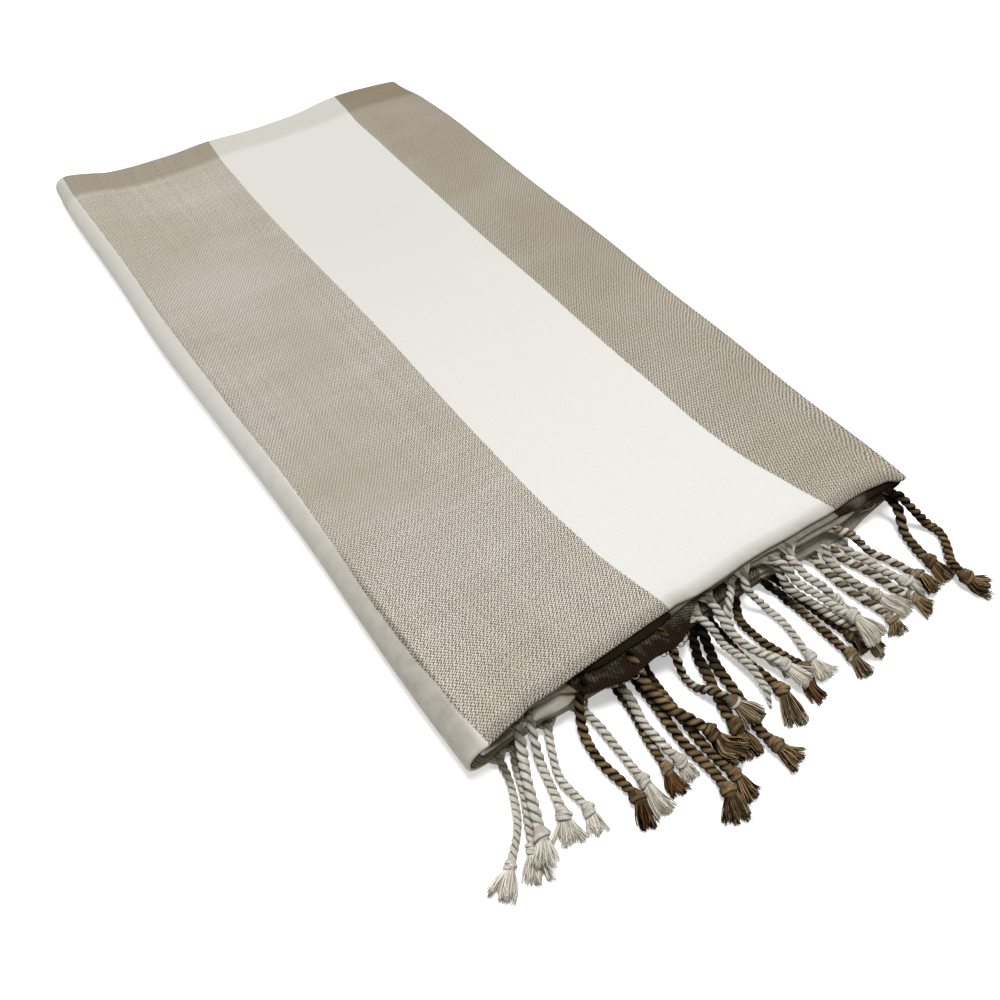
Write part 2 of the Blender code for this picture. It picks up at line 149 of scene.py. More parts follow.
def flowing(places, values, at):
    """A soft curve through a table's values."""
    at = np.clip(at, places[0], places[-1])
    slopes = np.gradient(values, places)
    row = np.clip(np.searchsorted(places, at, side="right") - 1, 0, len(places) - 2)
    span = places[row + 1] - places[row]
    leave, arrive = span * slopes[row], span * slopes[row + 1]
    return bridge((at - places[row]) / span, values[row], values[row + 1], leave, arrive)


def near_edge(name, x):
    """Where a fold or a fringed end lies along y, with the small unevenness of cut and folded cloth."""
    steady, phase = flowing(*EDGES[name], x), len(name)
    if name == "top_fold":
        return steady
    return steady + 0.35 * np.sin(x / 6.1 + phase) + 0.25 * np.sin(x / 3.3 + 2 * phase)


def settle(x, y, z):
    """Where a point of the neatly folded towel lies once the stack has settled."""
    left, right = (flowing(*SIDES[side], y) for side in SIDE_COLUMNS)
    sunk = SINK * ease((y - SINK_FROM) / (SINK_TO - SINK_FROM))
    return x + left + (right - left) * x / RIGHT, y, z * (1 - sunk)


def to_frame(points):
    """Towel millimetres to the shared frame's metres."""
    low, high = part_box("towel")
    shift = np.array((low[0] - TOWEL_LEFT * MM, high[1] - TOWEL_FAR * MM, 0.0))
    return np.asarray(points, float) * MM + shift


# ---- Cloth ----

# The four slabs that the crosswise folds make: the height of each one's first face, the way its layers go from
# there, and the tables' columns for its near fold and its fringed ends
SLABS = {
    1: dict(base=SLAB, up=-1, fold="bottom_fold", ends="lower_ends"),
    2: dict(base=SLAB + SLAB_GAP, up=1, fold="second_fold", ends="lower_ends"),
    3: dict(base=3 * SLAB + 2 * SLAB_GAP, up=-1, fold="third_fold", ends="upper_ends"),
    4: dict(base=3 * (SLAB + SLAB_GAP), up=1, fold="top_fold", ends="top_ends"),
}
MID_SLAB = SLAB / 2
NEAR_INSET = 1.1  # how far an inner lengthwise fold lies behind the edge that its table gives
FLAT_NEAR, FLAT_FAR = 6.0, 455.0  # even ends of the layers, where the cloth's length is measured
# Measured across the cloth from its selvedge: the top slab's left end, where the stripes lie as woven, and a
# stripe's edge on the rolled left side with the way that it slips round
TOP_SLAB, AS_WOVEN, ROLL_EDGE, ROLL_SLIP = 255.6, (150.0, 600.0, 760.0), 714.0, 15.0
# Low swells of the settled stack: share of its height, lengths across and along it, and phase
SWELLS = ((0.018, 17, 31, 0), (0.014, -41, 19, 1.3), (0.008, 7.3, 23, 0))
TOP_WHITE = (99, 201)  # the white stripe at the top fold's near edge
LIP_SHADE_FADE = 2.6  # how far back from the white cloth's lip its painted shade fades


def slab_run(number, start, stop, count):
    """Stations across one slab."""
    x = np.linspace(start, stop, count)
    row = SLABS[number]
    return dict(x=x, z=row["base"] + 0 * x, nx=0 * x, nz=row["up"] + 0 * x, fold=near_edge(row["fold"], x),
                ends=near_edge(row["ends"], x), far=flowing(*EDGES["far"], x))


def slab_bend(before, after, steps, outward, square=1.0):
    """Stations round a crosswise fold, between one slab's last and the next one's first. A square of less
    than 1 flattens the fold's side."""
    low, high = before["z"][-1], after["z"][0]
    share = np.linspace(0, 1, steps + 1)
    side = 1 if before["x"][-1] > RIGHT / 2 else -1
    angle = np.sign(high - low) * math.pi * (share - 0.5)
    across, rise = side * np.abs(np.cos(angle)) ** square, np.sign(angle) * np.abs(np.sin(angle)) ** square
    radius = abs(high - low) / 2
    x, z = before["x"][-1] + radius * across, (low + high) / 2 + radius * rise
    ahead_x, ahead_z = np.gradient(x), np.gradient(z)
    length = np.hypot(ahead_x, ahead_z) * side * np.sign(high - low)
    bend = dict(x=x, z=z, nx=outward * ahead_z / length, nz=-outward * ahead_x / length)
    for key in ("fold", "ends", "far"):
        bend[key] = before[key][-1] + (after[key][0] - before[key][-1]) * ease(share)
    return {key: values[1:-1] for key, values in bend.items()}


def width_stations():
    """The sheet from one selvedge to the other, through the crosswise folds; finer where it shows."""
    slab1, slab4 = slab_run(1, SELVEDGE, LEFT, 14), slab_run(4, LEFT, RIGHT, 96)
    slab3, slab2 = slab_run(3, RIGHT, LEFT, 46), slab_run(2, LEFT, SELVEDGE, 14)
    runs = (slab1, slab_bend(slab1, slab4, 18, 1, 0.8), slab4, slab_bend(slab4, slab3, 9, 1), slab3,
            slab_bend(slab3, slab2, 7, -1), slab2)
    return {key: np.concatenate([run[key] for run in runs]) for key in slab1}


def layer_points(height, outbound, steps, near):
    """Section points along one layer: share of the way to the far fold, near edge, offset and height."""
    inset = NEAR_INSET if near == "fold" else 0.0
    points = [(share, near, inset * (1 - share) - MID_SLAB * share, height)
              for share in np.linspace(0, 1, steps) ** 0.85]
    return points if outbound else points[::-1]


def fold_points(low, high, climb, steps, far):
    """Section points round a lengthwise fold between two layers, without its first and last."""
    points, middle, radius = [], (low + high) / 2, (high - low) / 2
    for i in range(1, steps):
        angle = climb * math.pi * (i / steps - 0.5)
        reach, height = radius * math.cos(angle), middle + radius * math.sin(angle)
        place = (1.0, "fold", reach - MID_SLAB) if far else (0.0, "fold", NEAR_INSET - reach)
        points.append((*place, height))
    return points


def length_section():
    """The sheet from one fringed end to the other: out, round the far fold, back, and so on."""
    first, second, third, outer = LAYER_MIDDLES
    return (layer_points(first, True, 16, "ends") + fold_points(first, outer, 1, 8, True)
            + layer_points(outer, False, 150, "fold") + fold_points(third, outer, -1, 6, False)
            + layer_points(third, True, 14, "fold") + fold_points(second, third, -1, 6, True)
            + layer_points(second, False, 16, "ends"))


def soft_swell(x, y):
    """Low swells of the settled stack, as a share of its height."""
    swell = sum(rise * np.sin(x / across + y / along + phase) for rise, across, along, phase in SWELLS)
    return swell * ease((y + 4) / 30)


def painted_edge_shade(x, y, z, height):
    """Painted shade under the near edge: 0 on the outside, 1 for cloth in the shade under the edge, and more in
    narrow gaps, which are painted near black. A little painted shade also falls on the lip of the top fold and
    low on the left fold."""
    edge = near_edge("top_fold", x)
    near = ease((edge + 14 - y) / 8)
    facing = ease(height - 2.7)  # the outer layers of a slab
    upper = ease((z - 15.6) / 1.6)  # and only on the top one
    side = 1 - within(x, 1.5, 241.5, 2.5)
    hidden = near * (1 - facing * np.maximum(upper, side))
    white_top = within(x, *TOP_WHITE, 2)
    # painted shade deepens further under the edge, less so under the white stripe
    close = ease((y - edge + 5) / 6) * (1 - 0.85 * white_top) * ease((x - 43) / 6)
    lit = 1.12 - 0.32 * within(x, 100, 226, 10) - 0.34 * ease((47 - x) / 7) * ease((x - 10) / 8)
    # painted shade on the lip where the top fold turns down: a quick fade on the white stripe, a broad one on
    # the beige
    white_lip = 0.9 * np.exp(-np.maximum(y - edge, 0) / LIP_SHADE_FADE) * ease((y - edge + 1) / 1.2)
    beige_lip = 0.42 * ease((edge + 8 - y) / 9)
    lip = (white_top * white_lip + (1 - white_top) * beige_lip) * (1 - side)
    # painted shade low on the left fold, whose side gets less light than the top
    wall = ease((2.2 - x) / 2.5) * (0.2 + 0.42 * ease((250 - y) / 230) - 0.12 * ease((12 - y) / 12))
    return np.maximum(hidden * (lit + close), np.maximum(lip, wall))


def stripe_shift(u, y):
    """How far the stripes wander from their woven place, where the cloth has pulled askew."""
    beige = FIRST_BEIGE + STRIPE_PITCH
    half = BEIGE_WIDTH / 2
    marks, moves = [u * 0 + AS_WOVEN[0]], [u * 0]
    for column, woven in zip(STRIPE_COLUMNS, (beige - half, beige + half, beige + STRIPE_PITCH - half)):
        lies = flowing(*STRIPES[column], y) + TOP_SLAB
        marks.append(lies)
        moves.append(woven - lies)
    slip = ROLL_SLIP * ease((40 - y) / 25)
    marks += [u * 0 + AS_WOVEN[1], u * 0 + ROLL_EDGE - slip, u * 0 + AS_WOVEN[2]]
    moves += [u * 0, u * 0 + slip, u * 0]
    shift = u * 0
    for i in range(len(marks) - 1):
        share = (u - marks[i]) / (marks[i + 1] - marks[i])
        inside = (share >= 0) & (share < 1)
        shift = np.where(inside, moves[i] + (moves[i + 1] - moves[i]) * share, shift)
    return shift


def weave_towel():
    """The whole towel as one thin sheet on its folds, with the cloth's own width and length as its UV map."""
    at = {key: values[:, None] for key, values in width_stations().items()}
    share, kind, offset, height = (np.array(values)[None] for values in zip(*length_section()))
    near = np.where(kind == "ends", at["ends"], at["fold"])
    y = near * (1 - share) + at["far"] * share + offset
    x, y, z = settle(at["x"] + at["nx"] * height, y, at["z"] + at["nz"] * height)
    z = z * (1 + soft_swell(x, y))
    middle = np.concatenate([at["x"] + at["nx"] * MID_SLAB, at["z"] + at["nz"] * MID_SLAB], axis=1)
    u = distances(middle)[:, None] + 0 * y
    flat = np.stack([share[0] * FLAT_FAR + (1 - share[0]) * FLAT_NEAR + offset[0], height[0]], axis=1)
    v = distances(flat)[None] + 0 * y
    uv = np.stack([u + stripe_shift(u, y), v], axis=-1).reshape(-1, 2) * MM

    index = np.arange(y.size).reshape(y.shape)
    faces = np.stack([index[:-1, :-1], index[1:, :-1], index[1:, 1:], index[:-1, 1:]], axis=-1).reshape(-1, 4)
    points = np.stack([x, y, z], axis=-1).reshape(-1, 3)
    towel = add_mesh("towel_cloth", points, faces.tolist(), "weave", uv[faces.reshape(-1)])
    # painted shade under the near edge, kept on the points for the cloth's material
    painted_shade = painted_edge_shade(x, y, z, height).astype(np.float32).reshape(-1)
    towel.data.attributes.new("painted_edge_shade", "FLOAT", "POINT").data.foreach_set("value", painted_shade)
    thickness = towel.modifiers.new("cloth thickness", "SOLIDIFY")
    thickness.thickness, thickness.offset = CLOTH * MM, 0.0
    return towel


# ---- Fringe ----

# How far the shade of the edge reaches over cords from the two lower slabs and from the two upper ones
SHADE = curves(("low", "high"), (
    (0, 15, 6), (18, 15, 6), (40, 8, 7), (50, 13, 19), (62, 25, 12), (75, 26, 9), (96, 33, 8), (104, 43, 8),
    (114, 44, 7), (124, 25, 5), (134, 18, 5), (148, 38, 7), (164, 34, 7), (176, 14, 6), (210, 12, 6),
    (226, 14, 14), (240, 14, 14),
))
STRIP = 6.0  # length of the strip in which the yarns are gathered; cords start halfway
ROOT = {1: 4.5, 2: 4.5, 3: 5.0, 4: 6.0}  # by slab, the length in which a cord thickens to its full width
CLEAR = 0.3  # air between tassels that lie beside or over each other
FALL, LOW_FALL = 20.0, 7.0  # length in which a cord from the upper or lower slabs comes down to the floor
SLOPE = 0.8  # the steepest that a tassel climbs over another
PARTING_ROUNDS, PARTED_FROM = 30, -6  # how often tassels on the floor are moved apart, and from which line
LINE_STEPS = 10  # from one of the places that a tassel's line passes to the next
FLOOR_REST = 0.3  # lowest middle of a single yarn

CORD_FILL = 0.74  # a cord's width in use, as a share of its loose width in the table
# In cord widths: one full turn of the two plies, how far a ply lies off the middle, its half width and its half
# thickness
TWIST, PLY_OFF, PLY_WIDE, PLY_THICK = 1.5, 0.235, 0.262, 0.285
CORD_START, CORD_STEP = -2.5, 0.46  # a little inside the cloth; fine enough for the plies
# Corners round a ply, a core, a knot's strands and a single yarn, and stations along a single yarn
CORD_CORNERS, CORE_CORNERS, STRAND_CORNERS, YARN_CORNERS, YARN_STATIONS = 9, 12, 8, 3, 7
KNOT_REACH, KNOT_TURNS = 0.72, 1.6  # half a knot's length in cord widths, and the turns wound round it
TUFT_RISE = 0.19  # half the height of a tuft's end, as a share of its width
LOCKS = 7  # curved locks that a tuft's yarns fall into
GOLDEN_TURN = 0.618034  # spreads yarns evenly over a tuft
ROOT_YARNS = 16

# Each tassel: slab and short end, the line seen from above, the widths of cord and tuft, and its yarn, with the
# tuft's where that differs. First those on the floor
TASSEL_COLUMNS = ("slab", "end", "root_x", "near_x", "near_y", "mid_x", "mid_y", "knot_x", "knot_y",
                  "tip_x", "tip_y", "cord", "spread", "yarn", "tuft")
FLOOR_ROWS = (
    (1, 1, 7, 6.5, -3, 0, -20, -13, -33, -23, -41, 4.8, 13, "white"),
    (1, 2, 15, 12, -2, 5, -17, -3, -33, -9, -44, 5, 11, "white"),
    (3, 2, 24.5, 21.5, -0.5, 18, -14, 14, -29.5, 9.5, -40, 5.6, 14, "white"),
    (1, 1, 31, 27, -5, 22, -17, 23, -33.5, 20.5, -43, 5.2, 8, "white"),
    (1, 2, 47, 48, -6, 48, -19, 47.5, -37, 47, -52, 5.4, 10, "pale"),
    (1, 1, 64, 64, -7, 60.5, -24, 58, -38.5, 55, -49.5, 5.6, 8.5, "fleck", "rust"),
    (2, 2, 73, 73, -10, 71, -36, 73.5, -58.5, 68, -69.5, 6.4, 13, "brown"),
    (1, 2, 80, 78.5, -13, 77, -37, 76, -55, 76, -66, 6, 10, "brown"),
    (2, 1, 107, 104, -7, 100, -17, 92.5, -41.5, 91.5, -54.5, 6.6, 12, "brown"),
    (1, 2, 111, 106.5, -11, 104, -28, 100, -56, 104.5, -66.5, 6.8, 11, "brown"),
    (1, 1, 118, 118.5, -6.5, 118, -20.5, 120, -40, 115, -55, 6, 13, "brown", "tipped"),
    (2, 2, 134, 130.4, -6, 130.6, -17, 134.6, -39.5, 134, -52, 5.6, 8, "brown", "rust"),
    (2, 1, 152, 156, -6, 156.5, -19, 157, -45.5, 156.5, -56.5, 5.8, 7.5, "fleck", "tipped"),
    (1, 2, 159, 159.5, -6, 162, -22, 164.5, -39, 165, -48, 5.8, 6, "brown"),
    (1, 2, 182, 182, -7, 182.5, -21.5, 186.5, -43.5, 183.5, -51.5, 5.8, 9, "mixed", "tipped"),
    (2, 2, 188, 187, -7, 187.5, -20, 190, -31, 195, -46, 6.2, 12, "dull", "pale"),
    (1, 1, 193, 193.4, -7, 197.2, -18, 202.3, -41.5, 206.2, -51, 5.8, 9, "mixed", "brown"),
    (4, 1, 51, 44, 0, 39, -18, 41, -40.5, 39, -52.5, 6, 7.5, "brown", "rust"),
    (4, 2, 141, 138.5, 2, 144.5, -9, 141.5, -36.5, 138, -47, 5.2, 11, "white"),
    (3, 1, 136, 132, 4.5, 123.6, -3, 128.4, -28, 133.5, -39, 5.2, 6, "white"),
    (3, 2, 231, 232.8, -5.5, 229, -17, 225.6, -33.5, 227, -45, 6.6, 12, "brown"),
)
# and those that lie over others
CROSSING_ROWS = (
    (3, 2, 158, 157.3, -4, 160.4, -19.4, 166.6, -43.9, 170.4, -53, 5.6, 9, "streaky", "streaked"),
    (3, 2, 110, 111.5, 0, 115, -17.3, 114.4, -37, 111.6, -43, 5.2, 6, "white", "loose"),
    (3, 1, 18.5, 15.5, -0.5, 10, -12, 1.5, -32, -3.5, -42, 6.2, 11, "white"),
    (2, 1, 64, 64.5, -6, 61.5, -21, 64, -39, 64.5, -47.5, 5.6, 9, "pale"),
    (4, 1, 73, 73, -2, 74, -19.3, 81.2, -37.9, 85.4, -53.4, 6.9, 15, "brown"),
    (4, 1, 91, 91.8, -2.5, 91.4, -16, 97.6, -33.4, 101.2, -46, 5.4, 13, "fleck", "streaked"),
    (3, 1, 120, 120, 4, 120, -10.5, 127.4, -33, 131.4, -44.8, 5.8, 10, "white"),
    (3, 1, 157, 158.6, -1, 162.4, -16, 165.4, -35.8, 167.5, -49.5, 5.6, 13, "white"),
    (4, 2, 167, 163.4, -3, 164.8, -13, 170.7, -24, 175.6, -34, 5.8, 9, "white"),
    (2, 1, 198, 199, -7, 202.8, -18, 204.7, -34.5, 212, -42, 5.8, 9, "white"),
    (3, 2, 195, 198.5, -2.5, 208, -15, 214.6, -35, 214.4, -46, 5.6, 8, "half", "brown"),
    (4, 1, 231, 234, -5.5, 244.3, -22.5, 230.2, -48.6, 238, -58.6, 6.2, 16, "brown"),
)
# Brown share of a cord's first and second ply, whether it has white flecks, and how streaky it is
YARNS = {
    "white": (0, 0, 0, 0), "pale": (0.05, 0.12, 0, 0.1), "brown": (1, 1, 0, 0),
    "fleck": (1, 1, 1, 0.1), "mixed": (0.06, 0.92, 0, 0.5), "half": (0.04, 0.92, 0, 0.3),
    # the last is pale yarn with painted shade, browner and darker for the tassels that lie over it
    "streaky": (0.05, 0.55, 0, 0.6), "dull": (0.2, 0.32, 0, 0.15),
}
# Brown share of the yarn ends below a knot, and of their tips; more than 1 is rust
TUFTS = {
    "white": (0, 0), "pale": (0.1, 0.15), "brown": (1, 1), "tipped": (0.95, 0.1),
    "streaked": (0.9, 0.7), "rust": (1.25, 1.25),
}
# Threads that hang out of the cut ends, the pale ones first
PALE_THREADS = 2
LOOSE_THREADS = (
    ((94, 2, 8), (93, -1, 9.6), (97, -3.2, 9.8), (101, -2.2, 9), (103, 1, 8)),
    ((95, 3, 9), (95, -0.5, 10.4), (98, -2.2, 10.8), (101, -1.5, 10), (102, 2, 9)),
    ((60, 6, 13), (59, 1.5, 12.2), (62, -0.5, 12), (66, 1, 12.4), (65, 5, 13)),
    ((66, 6, 13), (66, 0.5, 12.2), (69, -1.6, 12.2), (71.5, 0, 12.6), (70, 5, 13)),
    ((216, 6, 10.5), (214.5, 2.5, 11), (219, 0.6, 11), (224, 1.2, 11), (225, 5, 10.5)),
    ((218, 6, 10), (216.5, 3.4, 10.2), (220, 1.6, 10.2), (224, 2.4, 10.2), (224, 6, 10)),
)
# Where small loops stand along the cut ends, as (from, to, height)
LOOP_ROWS = ((54, 74, 12.4), (86, 104, 10.5), (208, 228, 9.0))
LOOP_SPACING = 3.1


def smooth_line(points, steps=LINE_STEPS):
    """A smooth line through all of the points."""
    points = np.array(points, float)
    span = np.linalg.norm(np.diff(points, axis=0), axis=1)
    speed = np.diff(points, axis=0) / span[:, None]
    inner = (speed[:-1] * span[1:, None] + speed[1:] * span[:-1, None]) / (span[:-1] + span[1:])[:, None]
    speed = np.concatenate([speed[:1], inner, speed[-1:]])
    line = [points[0]]
    for i, length in enumerate(span):
        line += [bridge(t, points[i], points[i + 1], length * speed[i], length * speed[i + 1])
                 for t in np.linspace(0, 1, steps + 1)[1:]]
    return np.array(line)


def smoothed(values, reach):
    """Each value averaged with its neighbours on both sides."""
    width = 2 * reach + 1
    return np.convolve(np.pad(values, reach, "edge"), np.ones(width) / width, "valid")


def tassel_girth(tassel):
    """Half widths and half thicknesses of a tassel along its length, for laying it beside the others."""
    cord, along, knot_at = tassel.width / 2, tassel.places, tassel.knot_at
    grown = 0.4 + (cord - 0.4) * ease(along / ROOT[tassel.slab])
    swell = np.sqrt(np.clip(1 - ((along - knot_at) / (1.7 * cord)) ** 2, 0, None))
    share = ease((along - knot_at - cord) / (along[-1] - knot_at - cord))
    ends = ((0.4, min(tassel.spread, 11) / 2), (0.35, 0.6 * TUFT_RISE * tassel.spread))
    return np.stack([grown + cord * knot * swell + (end - cord) * share for knot, end in ends], axis=1)


def plan_tassel(row):
    """A tassel with its line seen from above, in steps of about 1 mm."""
    row = dict(zip(TASSEL_COLUMNS, row))
    tassel = SimpleNamespace(**{"tuft": row["yarn"], **row})
    tassel.width = tassel.cord * CORD_FILL
    x, y = tassel.root_x, float(near_edge(SLABS[tassel.slab]["ends"], tassel.root_x))
    stops = [(row[stop + "_x"], row[stop + "_y"]) for stop in ("near", "mid", "knot", "tip")]
    line = smooth_line([(x, y + STRIP / 2), (x, y)] + stops)
    along = distances(line) - STRIP / 2
    tassel.knot_at = along[-1 - LINE_STEPS]
    tassel.places = np.linspace(-STRIP / 2, along[-1], round(along[-1] + STRIP / 2) + 1)
    tassel.plan = np.stack([np.interp(tassel.places, along, line[:, k]) for k in (0, 1)], axis=1)
    tassel.girth = tassel_girth(tassel)
    return tassel


def between(one, other):
    """The way from each place on a tassel to each one on another, its length, and the room that both need."""
    away = one.plan[:, None] - other.plan[None]
    return away, np.linalg.norm(away, axis=2), one.girth[:, None] + other.girth[None] + CLEAR


def part_neighbours(tassels):
    """Moves tassels that lie on the floor sideways until they lie beside each other."""
    for _ in range(PARTING_ROUNDS):
        shifts = [np.zeros_like(tassel.plan) for tassel in tassels]
        for i, one in enumerate(tassels):
            for j, other in enumerate(tassels[:i]):
                away, apart, room = between(one, other)
                out = (one.plan[:, None, 1] < PARTED_FROM) & (other.plan[None, :, 1] < PARTED_FROM)
                short = np.where(out, room[..., 0] - apart, 0)
                if short.max() <= 0:
                    continue
                push = (np.maximum(short, 0) / apart)[:, :, None] * away * 0.3
                shifts[i] += push[np.arange(len(push)), short.argmax(axis=1)]
                shifts[j] -= push[short.argmax(axis=0), np.arange(push.shape[1])]
        for tassel, shift in zip(tassels, shifts):
            hold = ease((tassel.places - 4.5) / 10)[:, None]
            soft = [smoothed(shift[:, k], 4) for k in (0, 1)]
            tassel.plan = tassel.plan + np.stack(soft, axis=1) * hold


def root_height(tassel):
    slab = SLABS[tassel.slab]
    return slab["base"] + slab["up"] * LAYER_MIDDLES[tassel.end - 1]


def lay_tassels():
    """Lays the tassels one after another, each on the floor or over those that it crosses."""
    tassels = [plan_tassel(row) for row in FLOOR_ROWS + CROSSING_ROWS]
    part_neighbours(tassels[:len(FLOOR_ROWS)])
    for number, tassel in enumerate(tassels):
        places, plan = tassel.places, tassel.plan
        wide, thick = tassel.girth.T
        upper = tassel.slab > 2
        root_z = root_height(tassel)
        fall = FALL if upper else LOW_FALL
        height = thick + np.maximum(root_z - thick, 0) * (1 - ease(places / fall))
        if upper:  # it stays on the two lower slabs as far as they reach
            below = ("second_fold", "lower_ends", "bottom_fold")
            lip = np.minimum.reduce([near_edge(name, plan[:, 0]) for name in below])
            shelf = 2 * SLAB + SLAB_GAP + CLEAR + thick
            height = np.where(plan[:, 1] > lip - wide - CLEAR, np.maximum(height, shelf), height)
        for other in tassels[:number]:
            _, apart, room = between(tassel, other)
            reach, lift = room[..., 0], room[..., 1]
            over = lift * np.sqrt(np.clip(1 - (apart / reach) ** 2, 0, None))
            height = np.maximum(height, np.where(apart < reach, other.height[None] + over, 0).max(axis=1))
        height = (height[None] - SLOPE * np.abs(places[:, None] - places[None])).max(axis=1)
        height = smoothed(height, 2)
        tassel.height = np.where(places > 1.0, height, root_z + (height - root_z) * ease(places))
    return tassels


def middle_line(tassel, at):
    """The middle of a tassel at places along it."""
    lines = (*tassel.plan.T, tassel.height)
    return np.stack([np.interp(at, tassel.places, values) for values in lines], axis=-1)


def shaded(x, y, slab):
    """How deep in the shade of the folded edge a place on a cord lies, from 0 to 1."""
    reach = flowing(*SHADE["low" if slab < 3 else "high"], x)
    return ease((y - near_edge("top_fold", x) + reach) / (0.55 * reach))


def corner_angles(corners):
    return np.arange(corners) / corners * math.tau


class Yarns:
    """Many yarns gathered in one mesh. Each vertex carries its share of brown dye, its own tone, and its
    painted shade: how deep in a crease or in the edge's shade it lies."""

    def __init__(self):
        self.points, self.faces, self.uv, self.dye, self.combed = [], [], [], [], []
        self.count = 0

    def spin_plain(self, centres, *rest):
        """One yarn or core that isn't turned."""
        self.spin(centres, *line_frames(centres), *rest)

    def spin(self, centres, side, up, wide, thick, corners, brown, tone, deep, combed=False):
        """One yarn or ply: a closed tube round a line of centres."""
        length = len(centres)
        wide, thick = (np.broadcast_to(value, (length,))[:, None, None] for value in (wide, thick))
        angle = corner_angles(corners)[None, :, None]
        ring = centres[:, None] + wide * np.cos(angle) * side[:, None] + thick * np.sin(angle) * up[:, None]
        self.points.append(ring.reshape(-1, 3))
        along = distances(centres)
        step, corner = np.arange(length - 1)[:, None], np.arange(corners)[None]
        quads, uv = [], []
        for ahead, beside in ((0, 0), (0, 1), (1, 1), (1, 0)):
            quads.append(self.count + (step + ahead) * corners + (corner + beside) % corners)
            turns = (corner + beside) / corners + 0 * step
            uv.append(np.stack([along[step + ahead] + 0 * turns, turns], axis=-1))
        first = list(range(self.count, self.count + corners))
        last = [vertex + (length - 1) * corners for vertex in first]
        self.faces += np.stack(quads, axis=-1).reshape(-1, 4).tolist() + [first[::-1], last]
        self.uv += [np.stack(uv, axis=-2).reshape(-1, 2), np.zeros((2 * corners, 2))]
        dye = np.ones((length, corners, 4))
        for channel, value in enumerate((brown, tone, deep)):
            dye[..., channel] = value[:, None] if np.ndim(value) == 1 else value
        self.dye.append(dye.reshape(-1, 4))
        self.combed += [combed] * ((length - 1) * corners + 2)
        self.count += length * corners

    def finish(self, name, finishes):
        points = np.concatenate(self.points)
        points[:, 2] = np.maximum(points[:, 2], 0.0)  # yarn that rests on the floor is pressed flat
        item = add_mesh(name, points, self.faces, "yarn", np.concatenate(self.uv))
        dye = np.concatenate(self.dye).astype(np.float32).reshape(-1)
        item.data.color_attributes.new("dye", "FLOAT_COLOR", "POINT").data.foreach_set("color", dye)
        for made in finishes:
            item.data.materials.append(made)
        item.data.polygons.foreach_set("material_index", np.array(self.combed, np.int32))
        return item


def heading(line):
    """The direction ahead at each point of a line."""
    ahead = np.gradient(line, axis=0)
    return ahead / np.linalg.norm(ahead, axis=1)[:, None]


def line_frames(line):
    """Unit vectors to the side and up, at each point of a line."""
    ahead = heading(line)
    side = np.stack([-ahead[:, 1], ahead[:, 0], 0 * ahead[:, 0]], axis=1)
    length = np.linalg.norm(side, axis=1)[:, None]
    side = np.where(length > 1e-6, side / np.maximum(length, 1e-6), (1.0, 0.0, 0.0))
    return side, np.cross(ahead, side)


def turned(angle, side, up):
    """Directions at an angle from the side towards up."""
    return np.cos(angle)[:, None] * side + np.sin(angle)[:, None] * up


def upward(out, cross, around):
    """How far each side of a yarn faces up, from -1 to 1."""
    return out[:, 2:] * np.cos(around) + cross[:, 2:] * np.sin(around)


def square_to(line, out):
    """The part of each direction that stands square to the line, and the third direction."""
    ahead = heading(line)
    out = out - ahead * np.sum(out * ahead, axis=1)[:, None]
    out /= np.linalg.norm(out, axis=1)[:, None]
    return out, np.cross(ahead, out)


def twist_cord(yarns, tassel, chance):
    """The two plies of a cord, wound round each other from the cloth to the knot."""
    width, shares = tassel.width, YARNS[tassel.yarn]
    loose = tassel.tuft == "loose"
    stop = tassel.places[-1] if loose else tassel.knot_at + 0.1 * width
    places = np.arange(CORD_START, stop, CORD_STEP)
    line = middle_line(tassel, places)
    side, up = line_frames(line)
    grown = 0.35 + 0.65 * ease((places - CORD_START) / ROOT[tassel.slab])
    grown = grown * (1 + 0.05 * np.sin(places * 0.31 + chance.uniform(0, 6)))
    if loose:
        grown = grown * (0.4 + 0.6 * ease((stop - places) / 9))
    pitch = width * TWIST * (1.08 if tassel.yarn in ("white", "pale") else 1.0)
    drift = 0.5 * np.sin(places * 0.17 + chance.uniform(0, 6))
    turn = chance.uniform(0, math.tau) + drift - places / pitch * math.tau
    around = corner_angles(CORD_CORNERS)
    slubs = [(chance.uniform(0, 6), chance.uniform(0.35, 0.6)) for _ in range(2)]
    shade = shaded(line[:, 0], line[:, 1], tassel.slab)[:, None]
    for ply, dark in enumerate(shares[:2]):
        angle = turn + ply * math.pi
        out = turned(angle, side, up)
        centres = line + out * (width * PLY_OFF * grown)[:, None]
        out, cross = square_to(centres, out)
        phase, pace = slubs[ply]
        slub = (np.sin(places * pace + phase) + 0.5 * np.sin(places * pace * 2.3 + 2 * phase))[:, None]
        streaks = np.cos(around * 2 + phase + 0.25 * places[:, None]) * (0.5 + 0.5 * slub)
        brown = np.clip(dark + shares[3] * 0.7 * streaks, 0, 1)
        if shares[2]:
            beat = np.cos(angle - slubs[0][0] * 0.3 - 0.4) + 0.25 * np.sin(places * 0.23 + phase) - 0.4 * ply
            fleck = ease((beat[:, None] - 0.5) / 0.25) * ease((np.cos(around - 0.3)[None] - 0.35) / 0.3)
            brown = brown * (1 - 0.97 * fleck)
        tone = 0.5 + 0.25 * slub + 0.1 * chance.uniform(-1, 1)
        # painted shade: darker in the creases between the plies and on their undersides, and on cords below the
        # folded edge
        crease = ease((0.78 + 0.42 * dark - np.cos(around)) / (0.74 + 0.1 * dark))[None]
        crease = crease * (0.66 + 0.34 * dark)
        under = (0.26 + 0.56 * dark) * ease((0.86 - upward(out, cross, around)) / 1.1)
        crease = 1 - (1 - crease) * (1 - under)
        deep = np.maximum(crease, shade * (0.84 + 0.11 * dark + 0.05 * crease))
        yarns.spin(centres, out, cross, width * PLY_WIDE * grown, width * PLY_THICK * grown, CORD_CORNERS,
                   brown, tone, deep)


